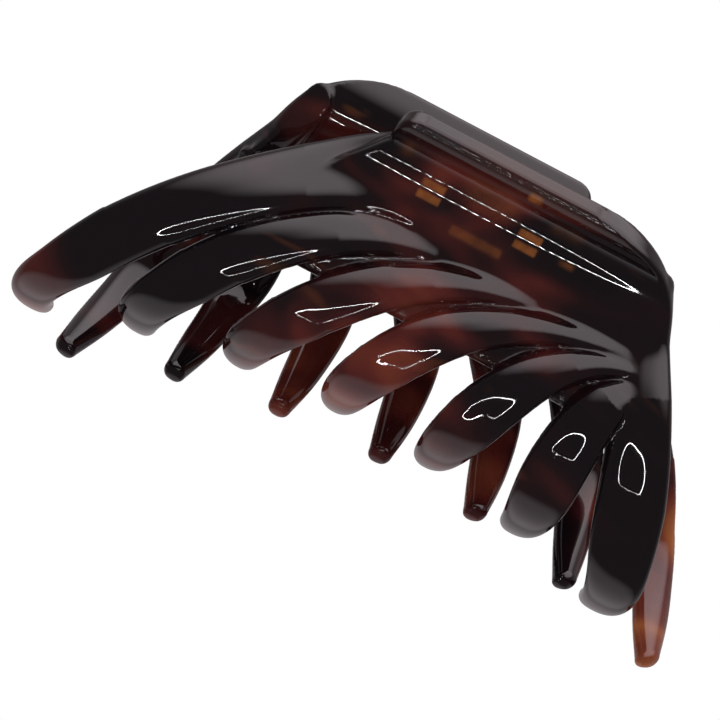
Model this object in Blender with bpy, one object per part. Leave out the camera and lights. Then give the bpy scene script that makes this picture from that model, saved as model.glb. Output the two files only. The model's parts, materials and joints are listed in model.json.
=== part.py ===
"""Large claw clip for hair: two like moulded jaws on a wire hinge, held shut by a torsion spring.

The jaws are one moulding used twice: the second is the first turned half round about the vertical
line through the middle of the hinge. X runs along the hinge, and each jaw's outer face is at its -Y.
"""

import math

import bmesh
import bpy
import numpy as np
from mathutils import Vector

for leftover in list(bpy.data.objects):
    bpy.data.objects.remove(leftover, do_unlink=True)

# Fingers. Heights are measured from the hinge line, and spreads from the clip's middle plane.
FINGER_COUNT = 7
FINGER_PITCH = 0.0136
TIP_DROP = 0.0316
TIP_ARCH = 0.0070
TIP_CROSSING = 0.0045
TIP_OFFSET = 0.0039
TIP_SWEEP = math.radians(10.0)
TIP_SWEEP_STEP = math.radians(2.5)
TIP_STRAIGHT = 0.0120
FINGER_THICKNESS = 0.0033
TIP_THICKNESS = 0.0026
FINGER_CROWN = 0.55
INNER_NARROWING = 0.22
SECTION_ROUNDING = 0.8
DOME_SCALES = (0.86, 0.50)
DOME_PUSHES = (0.0009, 0.0014)
ROOT_SCALES = (0.45, 0.80)
ROOT_PUSHES = (-0.0008, -0.0003)

# Root of each finger's centre line, from the far sweeping finger to the straight one.
ROOT_ALONG = (-0.0060, -0.0020, 0.0110, 0.0245, 0.0270, 0.0285, 0.0235)
ROOT_DROP = (-0.0010, 0.0040, 0.0042, 0.0042, 0.0052, 0.0066, -0.0025)
ROOT_SINK = 0.0012
SINK_SHARE = 0.25
SHOULDER_ALONG = (-0.0235, -0.0170, -0.0050, 0.0030, 0.0140, 0.0205, 0.0288)
SHOULDER_DROP = (-0.0010, 0.0040, 0.0045, 0.0045, 0.0055, 0.0075, 0.0105)

# Half widths of each finger at these shares of its length from root to tip.
WIDTH_PLACES = (0.0, 0.25, 0.5, 0.75, 0.9, 0.95, 1.0)
HALF_WIDTHS = (
    (0.0040, 0.0039, 0.0038, 0.0032, 0.0025, 0.0022, 0.0015),
    (0.0016, 0.0028, 0.0034, 0.0032, 0.0026, 0.0022, 0.0015),
    (0.0012, 0.0023, 0.0033, 0.0032, 0.0026, 0.0022, 0.0015),
    (0.0010, 0.0021, 0.0032, 0.0032, 0.0026, 0.0022, 0.0015),
    (0.0010, 0.0021, 0.0033, 0.0033, 0.0026, 0.0022, 0.0015),
    (0.0012, 0.0026, 0.0035, 0.0034, 0.0026, 0.0022, 0.0015),
    (0.0018, 0.0032, 0.0040, 0.0035, 0.0027, 0.0023, 0.0016),
)

# Side profile of the outer face.
TAB_HEIGHT = 0.0079
TAB_SPREAD = 0.0090
WAIST_HEIGHT = 0.0032
WAIST_SPREAD = 0.0066
CHEEK_DROP = 0.0060
CHEEK_SPREAD = 0.0100
BULGE_DROP = 0.0175
BULGE_SPREAD = 0.0140
BEND_RISE = 0.0135
TIP_CURL = 2.5

# Thumb tab and the web that joins the roots of the fingers.
TAB_LEFT = 0.0126
TAB_RIGHT = 0.0118
TAB_CORNER = 0.0095
TAB_LEFT_CORNER = 0.0030
TAB_LEFT_ROUND = 0.0025
TAB_FOOT = 0.0040
TAB_WALL = 0.0027
TAB_LAND = 0.0012
LAND_RISE = 0.0012
PLATE_EDGE = 0.0007
FLANK_SLOPE = 0.50
FLANK_START = 0.0254
FLANK_HEIGHT = 0.0017
WEB_LEFT = 0.0225
WEB_DROP = 0.0125
WEB_RISE = 0.0150
WEB_RECESS = 0.0012
WEB_WALL = 0.0018
RECESS_START = 0.0005
RECESS_RUN = 0.0035

# Hinge: lugs inside each jaw, the wire pin through them and the spring between them.
PIN_DIAMETER = 0.0020
PIN_END = 0.0004
BORE_CLEARANCE = 0.0003
LUG_RADIUS = 0.0030
LUG_WIDTH = 0.0032
LUG_GAP = 0.0003
LUG_ROOT = 0.85
SPRING_LENGTH = 0.0100
SPRING_WIRE = 0.0009
SPRING_TURNS = 7
SPRING_PIN_GAP = 0.0006
SPRING_LUG_GAP = 0.0004
SPRING_LEG = 0.0062
SPRING_TAB_GAP = 0.0003
LEAN_STEP = 0.0002

SECTION_SIDES = 12
FINGER_STATIONS = 20

clip = bpy.data.collections.new("claw_clip")
shapers = bpy.data.collections.new("shapers")
blades = bpy.data.collections.new("blades")
rooms = bpy.data.collections.new("rooms")
lugs = bpy.data.collections.new("lugs")
bpy.context.scene.collection.children.link(clip)
bpy.context.scene.collection.children.link(shapers)
for kind in (blades, rooms, lugs):
    shapers.children.link(kind)


def natural_spline(places, values):
    """Smooth curve through the given points, with no bending at either end."""
    x = np.array(places, float)
    y = np.array(values, float)
    step = np.diff(x)
    rise = np.diff(y) / step
    size = len(x)
    matrix = np.eye(size)
    right = np.zeros(size)
    for k in range(1, size - 1):
        matrix[k, k - 1 : k + 2] = step[k - 1], 2 * (step[k - 1] + step[k]), step[k]
        right[k] = 6 * (rise[k] - rise[k - 1])
    bend = np.linalg.solve(matrix, right)

    def value(at):
        k = int(np.clip(np.searchsorted(x, at) - 1, 0, size - 2))
        a = (x[k + 1] - at) / step[k]
        b = (at - x[k]) / step[k]
        curl = (a**3 - a) * bend[k] + (b**3 - b) * bend[k + 1]
        return a * y[k] + b * y[k + 1] + curl * step[k] ** 2 / 6

    return value


upper_profile = natural_spline(
    (-BULGE_DROP - BEND_RISE / 2, -BULGE_DROP, -CHEEK_DROP, WAIST_HEIGHT, TAB_HEIGHT),
    (BULGE_SPREAD, BULGE_SPREAD, CHEEK_SPREAD, WAIST_SPREAD, TAB_SPREAD),
)


def spread(height, tip_drop):
    """Distance of the outer face from the middle plane, on a finger whose tip is tip_drop below."""
    straight = upper_profile(min(max(height, -BULGE_DROP), TAB_HEIGHT))
    along = max(-height - tip_drop + BEND_RISE, 0.0) / BEND_RISE
    return straight - (BULGE_SPREAD + TIP_CROSSING) * along**TIP_CURL


def outward(height, tip_drop):
    """Outward normal of the side profile at a height."""
    half = 0.0003
    lean = (spread(height + half, tip_drop) - spread(height - half, tip_drop)) / (2 * half)
    return Vector((0.0, -1.0, -lean)).normalized()


def lofted(name, rings, home):
    """Closed solid through rings of like point count, capped flat at both ends."""
    sheet = bmesh.new()
    rows = [[sheet.verts.new(point) for point in ring] for ring in rings]
    count = len(rows[0])
    for near, far in zip(rows, rows[1:]):
        for k in range(count):
            after = (k + 1) % count
            sheet.faces.new((near[k], near[after], far[after], far[k]))
    sheet.faces.new(list(reversed(rows[0])))
    sheet.faces.new(rows[-1])
    bmesh.ops.recalc_face_normals(sheet, faces=sheet.faces)
    mesh = bpy.data.meshes.new(name)
    sheet.to_mesh(mesh)
    sheet.free()
    solid = bpy.data.objects.new(name, mesh)
    home.objects.link(solid)
    return solid


def moulded(name, colour, roughness, metallic):
    """Principled material in the piece's own colour."""
    material = bpy.data.materials.new(name)
    material.use_nodes = True
    shader = material.node_tree.nodes["Principled BSDF"]
    shader.inputs["Base Color"].default_value = (*colour, 1.0)
    shader.inputs["Roughness"].default_value = roughness
    shader.inputs["Metallic"].default_value = metallic
    return material


def tip_place(number):
    """Tip of a finger: the row is set off centre, so the turned jaw's fingers pass between."""
    middle = (FINGER_COUNT - 1) / 2
    step = number - middle
    along = step * FINGER_PITCH - TIP_OFFSET
    return along, TIP_DROP + TIP_ARCH * (step / middle) ** 2


def finger_line(number, share):
    """Point of the finger's centre line in front view, as distance along and height."""
    tip_along, tip_drop = tip_place(number)
    sweep = TIP_SWEEP - TIP_SWEEP_STEP * number
    reach = TIP_STRAIGHT
    corners = (
        (ROOT_ALONG[number], -ROOT_DROP[number]),
        (SHOULDER_ALONG[number], -SHOULDER_DROP[number]),
        (tip_along + reach * math.sin(sweep), -tip_drop + reach * math.cos(sweep)),
        (tip_along, -tip_drop),
    )
    left = 1 - share
    weights = (left**3, 3 * left**2 * share, 3 * left * share**2, share**3)
    along = sum(w * c[0] for w, c in zip(weights, corners))
    height = sum(w * c[1] for w, c in zip(weights, corners))
    return along, height


def finger(number):
    """One curved finger: flat inside, crowned outside, narrowing to a rounded tip."""
    tip_drop = tip_place(number)[1]
    widths = natural_spline(WIDTH_PLACES, HALF_WIDTHS[number])
    rings = []
    body = [(share, 1.0, 0.0) for share in np.linspace(0.0, 1.0, FINGER_STATIONS)]
    root = [(0.0, scale, push) for scale, push in zip(ROOT_SCALES, ROOT_PUSHES)]
    dome = [(1.0, scale, push) for scale, push in zip(DOME_SCALES, DOME_PUSHES)]
    for share, scale, push in root + body + dome:
        along, height = finger_line(number, share)
        ahead = finger_line(number, min(share + 0.01, 1.0))
        behind = finger_line(number, max(share - 0.01, 0.0))
        point = Vector((along, -spread(height, tip_drop), height))
        front = Vector((ahead[0], -spread(ahead[1], tip_drop), ahead[1]))
        back = Vector((behind[0], -spread(behind[1], tip_drop), behind[1]))
        run = (front - back).normalized()
        out = outward(height, tip_drop)
        out = (out - run * out.dot(run)).normalized()
        side = run.cross(out)
        thickness = FINGER_THICKNESS + (TIP_THICKNESS - FINGER_THICKNESS) * share
        half_width = widths(share) * scale
        crown = thickness * FINGER_CROWN
        sink = ROOT_SINK * max(1.0 - share / SINK_SHARE, 0.0)
        middle = point - out * (crown + sink) + run * push
        ring = []
        for k in range(SECTION_SIDES):
            angle = 2 * math.pi * (k + 0.5) / SECTION_SIDES
            across = math.copysign(abs(math.cos(angle)) ** SECTION_ROUNDING, math.cos(angle))
            deep = math.copysign(abs(math.sin(angle)) ** SECTION_ROUNDING, math.sin(angle))
            rise = crown if deep > 0 else thickness - crown - sink
            narrow = 1.0 + INNER_NARROWING * min(deep, 0.0)
            aside = side * (across * half_width * narrow)
            ring.append(middle + aside + out * (deep * rise * scale))
        rings.append(ring)
    return lofted(f"blade_{number + 1}", rings, blades)


def tab_ends(height):
    """Left and right ends of the plate at a height, with the tab's rounded upper corners."""
    if height > TAB_FOOT:
        rise = np.clip((height - TAB_HEIGHT) / TAB_LEFT_CORNER + 1, 0.0, 1.0)
        left = -TAB_LEFT + TAB_LEFT_ROUND * (1 - math.sqrt(1 - rise**2))
    else:
        fall = min((TAB_FOOT - height) / WEB_RISE, 1.0)
        left = -TAB_LEFT - (WEB_LEFT - TAB_LEFT) * math.sin(fall * math.pi / 2)
    turn = TAB_HEIGHT - TAB_CORNER
    right = FLANK_START - FLANK_SLOPE * (min(height, turn) - FLANK_HEIGHT)
    rise = np.clip((height - turn) / TAB_CORNER, 0.0, 1.0)
    return left, TAB_RIGHT + (right - TAB_RIGHT) * math.sqrt(1 - rise**2)


def plate():
    """Thumb tab and web in one curved plate, its top edge finished with a narrow flat land."""
    rounding = 1 - np.sin(np.linspace(0.25, 0.97, 5) * math.pi / 2)
    heights = np.concatenate(
        (
            np.linspace(-WEB_DROP, 0.0, 8),
            np.linspace(0.0020, TAB_HEIGHT - TAB_LEFT_CORNER, 4),
            TAB_HEIGHT - TAB_LEFT_CORNER * rounding,
        )
    )
    rings = []
    for height in heights:
        left, right = tab_ends(height)
        out = outward(height, TIP_DROP)
        below = np.clip((-height - RECESS_START) / RECESS_RUN, 0.0, 1.0)
        wall = TAB_WALL + (WEB_WALL - TAB_WALL) * below
        closing = max(height - TAB_HEIGHT + LAND_RISE, 0.0) / LAND_RISE
        pinch = (wall - TAB_LAND) / 2 * closing**2
        face = Vector((0.0, -spread(height, TIP_DROP), height)) - out * (WEB_RECESS * below)
        back = face - out * (wall - pinch)
        face = face - out * pinch
        middle = (face + back) / 2
        spots = np.linspace(left + PLATE_EDGE, right - PLATE_EDGE, 9)
        ring = [Vector((spot, face.y, face.z)) for spot in spots]
        ring.append(Vector((right, middle.y, middle.z)))
        ring.extend(Vector((spot, back.y, back.z)) for spot in reversed(spots))
        ring.append(Vector((left, middle.y, middle.z)))
        rings.append(ring)
    level = max(point.z for point in rings[-1])
    rings[-1] = [Vector((point.x, point.y, level)) for point in rings[-1]]
    return lofted("plate", rings, shapers)


def barrel(name, radius, near, far, home):
    """Solid round bar along the hinge line."""
    sheet = bmesh.new()
    bmesh.ops.create_cone(
        sheet, cap_ends=True, segments=24, radius1=radius, radius2=radius, depth=far - near
    )
    mesh = bpy.data.meshes.new(name)
    for vert in sheet.verts:
        vert.co = Vector((vert.co.z + (near + far) / 2, vert.co.y, -vert.co.x))
    sheet.to_mesh(mesh)
    sheet.free()
    bar = bpy.data.objects.new(name, mesh)
    home.objects.link(bar)
    return bar


def block(name, low, high, home):
    """Box between two corners."""
    sheet = bmesh.new()
    bmesh.ops.create_cube(sheet, size=1.0)
    for vert in sheet.verts:
        share = vert.co + Vector((0.5, 0.5, 0.5))
        vert.co = Vector([low[k] + (high[k] - low[k]) * share[k] for k in range(3)])
    mesh = bpy.data.meshes.new(name)
    sheet.to_mesh(mesh)
    sheet.free()
    box = bpy.data.objects.new(name, mesh)
    home.objects.link(box)
    return box


def combine(target, tool, operation, whole_collection=False):
    """Boolean on the target, by one solid or by a whole collection of them."""
    step = target.modifiers.new(operation.lower(), "BOOLEAN")
    step.operation = operation
    step.solver = "EXACT"
    if whole_collection:
        step.operand_type = "COLLECTION"
        step.collection = tool
    else:
        step.object = tool


def settled(solid, name):
    """Plain mesh of a solid with its modifiers carried out."""
    bpy.context.view_layer.update()
    ready = solid.evaluated_get(bpy.context.evaluated_depsgraph_get())
    mesh = bpy.data.meshes.new_from_object(ready)
    mesh.name = name
    return mesh


# Lug places: this jaw's outer lug on the left pairs with the turned jaw's inner one, and so on.
inner_lug = SPRING_LENGTH / 2 + SPRING_LUG_GAP + LUG_WIDTH / 2
outer_lug = inner_lug + LUG_WIDTH + LUG_GAP
bore_radius = PIN_DIAMETER / 2 + BORE_CLEARANCE

jaw_body = plate()
for number in range(FINGER_COUNT):
    finger(number)
for lug, centre in enumerate((outer_lug, -inner_lug)):
    near = centre - LUG_WIDTH / 2 - LUG_GAP / 2
    far = centre + LUG_WIDTH / 2 + LUG_GAP / 2
    barrel(f"other_lug_room_{lug}", LUG_RADIUS + LUG_GAP, near, far, rooms)
combine(jaw_body, blades, "UNION", whole_collection=True)
combine(jaw_body, rooms, "DIFFERENCE", whole_collection=True)
for lug, centre in enumerate((-outer_lug, inner_lug)):
    near = centre - LUG_WIDTH / 2
    far = centre + LUG_WIDTH / 2
    barrel(f"lug_eye_{lug}", LUG_RADIUS, near, far, lugs)
    reach = WAIST_SPREAD - TAB_WALL / 2
    low = (near, -reach, -LUG_RADIUS * LUG_ROOT)
    high = (far, 0.0, LUG_RADIUS * LUG_ROOT)
    block(f"lug_root_{lug}", low, high, lugs)
combine(jaw_body, lugs, "UNION", whole_collection=True)
bore = barrel("bore", bore_radius, -outer_lug - LUG_WIDTH, outer_lug + LUG_WIDTH, shapers)
combine(jaw_body, bore, "DIFFERENCE")

jaw_mesh = settled(jaw_body, "jaw")
jaw_mesh.materials.clear()
jaw_mesh.materials.append(moulded("tortoiseshell", (0.10, 0.018, 0.010), 0.12, 0.0))
jaw_mesh.shade_smooth()
jaw_mesh.set_sharp_from_angle(angle=math.radians(35))

hinge_height = -min(vert.co.z for vert in jaw_mesh.vertices)
for name, turn in (("front_jaw", 0.0), ("rear_jaw", math.pi)):
    jaw = bpy.data.objects.new(name, jaw_mesh)
    jaw.location = (0.0, 0.0, hinge_height)
    jaw.rotation_euler = (0.0, 0.0, turn)
    clip.objects.link(jaw)

pin_half = outer_lug + LUG_WIDTH / 2 + PIN_END
pin = barrel("hinge_pin", PIN_DIAMETER / 2, -pin_half, pin_half, clip)
pin.location = (0.0, 0.0, hinge_height)
pin.data.materials.append(moulded("pin_steel", (0.55, 0.55, 0.56), 0.25, 1.0))
pin.data.shade_smooth()
pin.data.set_sharp_from_angle(angle=math.radians(35))

# Spring: a coil about the pin, whose two legs end just inside the two tabs.
coil_radius = PIN_DIAMETER / 2 + SPRING_PIN_GAP + SPRING_WIRE / 2
coil_run = SPRING_LENGTH - SPRING_WIRE
path = []
steps = SPRING_TURNS * 9
for k in range(steps + 1):
    share = k / steps
    angle = math.pi + 2 * math.pi * SPRING_TURNS * share + math.pi * share
    along = -coil_run / 2 + coil_run * share
    path.append((along, coil_radius * math.cos(angle), coil_radius * math.sin(angle)))
lean = (upper_profile(SPRING_LEG + LEAN_STEP) - upper_profile(SPRING_LEG - LEAN_STEP)) / LEAN_STEP / 2
leg_inset = (TAB_WALL + SPRING_TAB_GAP + SPRING_WIRE / 2) * math.hypot(1, lean)
leg_end = upper_profile(SPRING_LEG) - leg_inset
path.insert(0, (path[0][0], -leg_end, SPRING_LEG))
path.append((path[-1][0], leg_end, SPRING_LEG))
wire = bpy.data.curves.new("torsion_spring", "CURVE")
wire.dimensions = "3D"
line = wire.splines.new("POLY")
line.points.add(len(path) - 1)
for spot, place in zip(line.points, path):
    spot.co = (*place, 1.0)
wire.bevel_depth = SPRING_WIRE / 2
wire.bevel_resolution = 1
wire.use_fill_caps = True
spring = bpy.data.objects.new("torsion_spring", wire)
spring.location = (0.0, 0.0, hinge_height)
clip.objects.link(spring)
wire.materials.append(moulded("spring_steel", (0.42, 0.42, 0.44), 0.3, 1.0))

for helper in shapers.all_objects:
    helper.hide_render = True
    helper.display_type = "WIRE"
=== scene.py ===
"""Finished look of a large tortoiseshell claw clip: two moulded jaws, a wire pin and a spring."""

import json
import math

import bmesh
import bpy
import numpy as np
from mathutils import Matrix, Vector


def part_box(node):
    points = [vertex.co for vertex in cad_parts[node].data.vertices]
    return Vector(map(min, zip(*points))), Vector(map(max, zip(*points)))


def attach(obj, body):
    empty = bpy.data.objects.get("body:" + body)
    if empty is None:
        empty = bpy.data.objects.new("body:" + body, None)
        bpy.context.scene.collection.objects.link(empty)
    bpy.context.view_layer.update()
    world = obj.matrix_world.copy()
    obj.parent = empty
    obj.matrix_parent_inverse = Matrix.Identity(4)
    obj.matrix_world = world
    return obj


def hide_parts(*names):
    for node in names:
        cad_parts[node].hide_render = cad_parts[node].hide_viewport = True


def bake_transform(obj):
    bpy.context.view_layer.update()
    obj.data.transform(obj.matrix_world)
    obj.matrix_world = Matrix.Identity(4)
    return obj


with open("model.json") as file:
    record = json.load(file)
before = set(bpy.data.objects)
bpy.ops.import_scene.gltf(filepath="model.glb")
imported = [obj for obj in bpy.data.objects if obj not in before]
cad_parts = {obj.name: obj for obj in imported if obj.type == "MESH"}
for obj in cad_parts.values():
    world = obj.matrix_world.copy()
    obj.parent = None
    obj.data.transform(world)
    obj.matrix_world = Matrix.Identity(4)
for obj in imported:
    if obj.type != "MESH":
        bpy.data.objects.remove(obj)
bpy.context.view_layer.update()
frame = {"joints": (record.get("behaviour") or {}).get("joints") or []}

# ---------------------------------------------------------------------------------------------
# Front jaw
# One injection moulding in swirled acetate-like plastic: a thumb tab with a rolled rim, a thin web
# below it and seven fingers that fan out of its right end. Two lugs behind the tab carry the pin.

HINGE_HEIGHT = frame["joints"][0]["pos_m"][2]

FINGER_PITCH = 0.0136
TIP_DROP = 0.0316
TIP_ARCH = 0.0070
TIP_CROSSING = 0.0045
TIP_OFFSET = 0.0039
TIP_SWEEP = math.radians(10.0)
TIP_SWEEP_STEP = math.radians(2.5)
TIP_STRAIGHT = 0.0120
FINGER_THICKNESS = 0.0033
TIP_THICKNESS = 0.0026
FINGER_CROWN = 0.55
INNER_NARROWING = 0.22
SECTION_POWER = 2.5
DOME_REACH = 0.0016
FEATHER_LIFT = 0.30
FEATHER_SHARE = 0.75
ROOT_SINK = 0.0012
SINK_SHARE = 0.25

# Root and shoulder of each finger's centre line, from the far sweeping finger to the straight one.
ROOTS = (
    (-0.0060, 0.0010),
    (-0.0020, -0.0040),
    (0.0110, -0.0042),
    (0.0245, -0.0042),
    (0.0270, -0.0052),
    (0.0285, -0.0066),
    (0.0235, 0.0025),
)
SHOULDERS = (
    (-0.0235, 0.0010),
    (-0.0170, -0.0040),
    (-0.0050, -0.0045),
    (0.0030, -0.0045),
    (0.0140, -0.0055),
    (0.0205, -0.0075),
    (0.0288, -0.0105),
)

# Half widths of each finger at these shares of its length from root to tip.
WIDTH_PLACES = (0.0, 0.25, 0.5, 0.75, 0.9, 0.95, 1.0)
HALF_WIDTHS = (
    (0.0040, 0.0039, 0.0038, 0.0032, 0.0025, 0.0022, 0.0015),
    (0.0016, 0.0028, 0.0034, 0.0032, 0.0026, 0.0022, 0.0015),
    (0.0012, 0.0023, 0.0033, 0.0032, 0.0026, 0.0022, 0.0015),
    (0.0010, 0.0021, 0.0032, 0.0032, 0.0026, 0.0022, 0.0015),
    (0.0010, 0.0021, 0.0033, 0.0033, 0.0026, 0.0022, 0.0015),
    (0.0012, 0.0026, 0.0035, 0.0034, 0.0026, 0.0022, 0.0015),
    (0.0018, 0.0032, 0.0040, 0.0035, 0.0027, 0.0023, 0.0016),
)
LINE_STEPS = 30
FINGER_REACH = 0.0075
FAR_OFF = 0.0045

TAB_HEIGHT = 0.0079
PROFILE_HEIGHTS = (-0.02425, -0.0175, -0.0060, 0.0032, TAB_HEIGHT)
PROFILE_SPREADS = (0.0140, 0.0140, 0.0100, 0.0066, 0.0090)
BULGE_DROP = 0.0175
BULGE_SPREAD = 0.0140
BEND_RISE = 0.0135
TIP_CURL = 2.5

TAB_FLARE = 0.6
PROFILE_STEP = 0.0002
FOOT_MOVE = 0.0015

TAB_LEFT = 0.0126
TAB_LEFT_ROUND = 0.0025
TAB_LEFT_CORNER = 0.0030
TAB_RIGHT = 0.0118
TAB_CORNER = 0.0095
TAB_FOOT = 0.0040
TAB_WALL = 0.0027
RIM_ROUND = 0.0010
RIM_LIP = 0.0006
LIP_DROP = 0.0036
LIP_RUN = 0.0024
FLANK_START = 0.0254
FLANK_SLOPE = 0.50
FLANK_HEIGHT = 0.0017
WEB_LEFT = 0.0225
WEB_RISE = 0.0150
WEB_DROP = 0.0125
WEB_WALL = 0.0018
WEB_RECESS = 0.0019
WEB_START = 0.0010
WEB_RUN = 0.0085

LUG_RADIUS = 0.0030
LUG_WIDTH = 0.0032
LUG_PLACES = (-0.0105, 0.0070)
LUG_ROOT = 0.0052
LUG_ROOT_SHARE = 0.85
EYE_ROUND = 0.0004
ROOT_ROUND = 0.0003
BORE_RADIUS = 0.0013

VALLEY_FILLET = 0.00045
WEB_FILLET = 0.0008
LUG_FILLET = 0.0010
SKIN_CELL = 0.00031
SKIN_LOW = (-0.0495, -0.0165, -0.0405)
SKIN_HIGH = (0.0415, 0.0095, 0.0125)


def natural_spline(places, values):
    """Smooth curve through the given points, with no bending at either end."""
    x = np.array(places, float)
    y = np.array(values, float)
    step = np.diff(x)
    rise = np.diff(y) / step
    matrix = np.eye(len(x))
    right = np.zeros(len(x))
    for k in range(1, len(x) - 1):
        matrix[k, k - 1 : k + 2] = step[k - 1], 2 * (step[k - 1] + step[k]), step[k]
        right[k] = 6 * (rise[k] - rise[k - 1])
    bend = np.linalg.solve(matrix, right)

    def value(at):
        k = np.clip(np.searchsorted(x, at) - 1, 0, len(x) - 2)
        a = (x[k + 1] - at) / step[k]
        b = (at - x[k]) / step[k]
        curl = (a**3 - a) * bend[k] + (b**3 - b) * bend[k + 1]
        return a * y[k] + b * y[k + 1] + curl * step[k] ** 2 / 6

    return value


upper_profile = natural_spline(PROFILE_HEIGHTS, PROFILE_SPREADS)


def spread(height, tip_drop):
    """Distance of the outer face from the middle plane."""
    straight = upper_profile(np.clip(height, -BULGE_DROP, TAB_HEIGHT))
    straight = straight + np.maximum(height - TAB_HEIGHT, 0.0) * TAB_FLARE
    along = np.maximum(-height - tip_drop + BEND_RISE, 0.0) / BEND_RISE
    return straight - (BULGE_SPREAD + TIP_CROSSING) * along**TIP_CURL


def profile_lean(foot, tip_drop):
    """Slope of the outer face at a height, from spreads a small step above and below it."""
    above = spread(foot + PROFILE_STEP, tip_drop)
    return (above - spread(foot - PROFILE_STEP, tip_drop)) / (2 * PROFILE_STEP)


def profile_foot(y, z, tip_drop):
    """Signed distance outside the side profile, and height and slope at the nearest point on it."""
    foot = z.copy()
    for _ in range(4):
        lean = profile_lean(foot, tip_drop)
        gap = -y - spread(foot, tip_drop)
        move = (gap * lean + z - foot) / (1 + lean**2)
        foot = foot + np.clip(move, -FOOT_MOVE, FOOT_MOVE)
    lean = profile_lean(foot, tip_drop)
    gap = -y - spread(foot, tip_drop)
    out = (gap - (z - foot) * lean) / np.sqrt(1 + lean**2)
    return out, foot, lean


def bezier(corners, shares):
    """Points of a cubic curve in front view at the given shares, and its speed there."""
    shares = shares[:, None]
    left = 1 - shares
    weights = (left**3, 3 * left**2 * shares, 3 * left * shares**2, shares**3)
    line = sum(w * c for w, c in zip(weights, corners))
    speeds = (3 * left**2, 6 * left * shares, 3 * shares**2)
    speed = sum(w * (b - a) for w, a, b in zip(speeds, corners, corners[1:]))
    return line, speed


def finger_corners(number):
    """Root, shoulder, bend and tip that steer one finger's centre line in front view."""
    step = number - 3
    tip = np.array((step * FINGER_PITCH - TIP_OFFSET, -TIP_DROP - TIP_ARCH * (step / 3) ** 2))
    sweep = TIP_SWEEP - TIP_SWEEP_STEP * number
    bend = tip + TIP_STRAIGHT * np.array((math.sin(sweep), math.cos(sweep)))
    return np.array(ROOTS[number]), np.array(SHOULDERS[number]), bend, tip


def finger_field(number, x, y, z):
    """Signed distance to one finger: crowned outside, flatter inside, domed at the tip."""
    corners = finger_corners(number)
    tip_drop = -corners[3][1]
    shares = np.linspace(0.0, 1.0, LINE_STEPS)
    line, _ = bezier(corners, shares)
    low = line.min(0) - FINGER_REACH
    high = line.max(0) + FINGER_REACH
    close = (x > low[0]) & (x < high[0]) & (z > low[1]) & (z < high[1])
    whole = np.full(len(x), FAR_OFF)
    if not close.any():
        return whole
    x, y, z = x[close], y[close], z[close]
    out, foot, lean = profile_foot(y, z, tip_drop)
    near = np.full(len(x), 1.0)
    share = np.zeros(len(x))
    for spot, place in zip(line, shares):
        gap = (x - spot[0]) ** 2 + (foot - spot[1]) ** 2
        closer = gap < near
        near[closer] = gap[closer]
        share[closer] = place
    for turn in range(3):
        spot, speed = bezier(corners, share)
        pace = np.hypot(speed[:, 0], speed[:, 1])
        run = speed / pace[:, None]
        dx = x - spot[:, 0]
        dz = foot - spot[:, 1]
        along = dx * run[:, 0] + dz * run[:, 1]
        across = dx * run[:, 1] - dz * run[:, 0]
        if turn < 2:
            share = np.clip(share + along / pace, 0.0, 1.0)
    beyond = np.where(share >= 1, np.maximum(along, 0.0), 0.0)
    beyond = beyond * np.sqrt(1 + (lean * run[:, 1]) ** 2)
    before = np.where(share <= 0, np.maximum(-along, 0.0), 0.0)
    half_width = natural_spline(WIDTH_PLACES, HALF_WIDTHS[number])(share)
    thickness = FINGER_THICKNESS + (TIP_THICKNESS - FINGER_THICKNESS) * share
    crown = thickness * FINGER_CROWN
    sink = ROOT_SINK * np.maximum(1 - share / SINK_SHARE, 0.0)
    lift = FEATHER_LIFT * np.clip(1 - share / FEATHER_SHARE, 0.0, 1.0)
    rise = out + crown + sink + lift * across
    depth = np.where(rise > 0, crown, thickness - crown - sink)
    deep = np.clip(rise / depth, -1.0, 0.0)
    half_width = half_width * (1 + INNER_NARROWING * deep)
    a = np.abs(across) / half_width
    b = np.abs(rise) / depth
    c = beyond / DOME_REACH + before / DOME_REACH
    power = SECTION_POWER
    size = (a**power + b**power + c**power + 1e-9) ** (1 / power)
    steep = np.hypot((a / size) ** (power - 1) / half_width, (b / size) ** (power - 1) / depth)
    steep = np.hypot(steep, (c / size) ** (power - 1) / DOME_REACH)
    whole[close] = (size - 1) / np.maximum(steep, 0.5 / half_width)
    return whole


def rounded(parts, radius):
    """Distance to where all the given half spaces meet, with its edges rounded."""
    shifted = [part + radius for part in parts]
    outside = np.sqrt(sum(np.maximum(part, 0.0) ** 2 for part in shifted))
    return outside + np.minimum(np.maximum.reduce(shifted), 0.0) - radius


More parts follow.
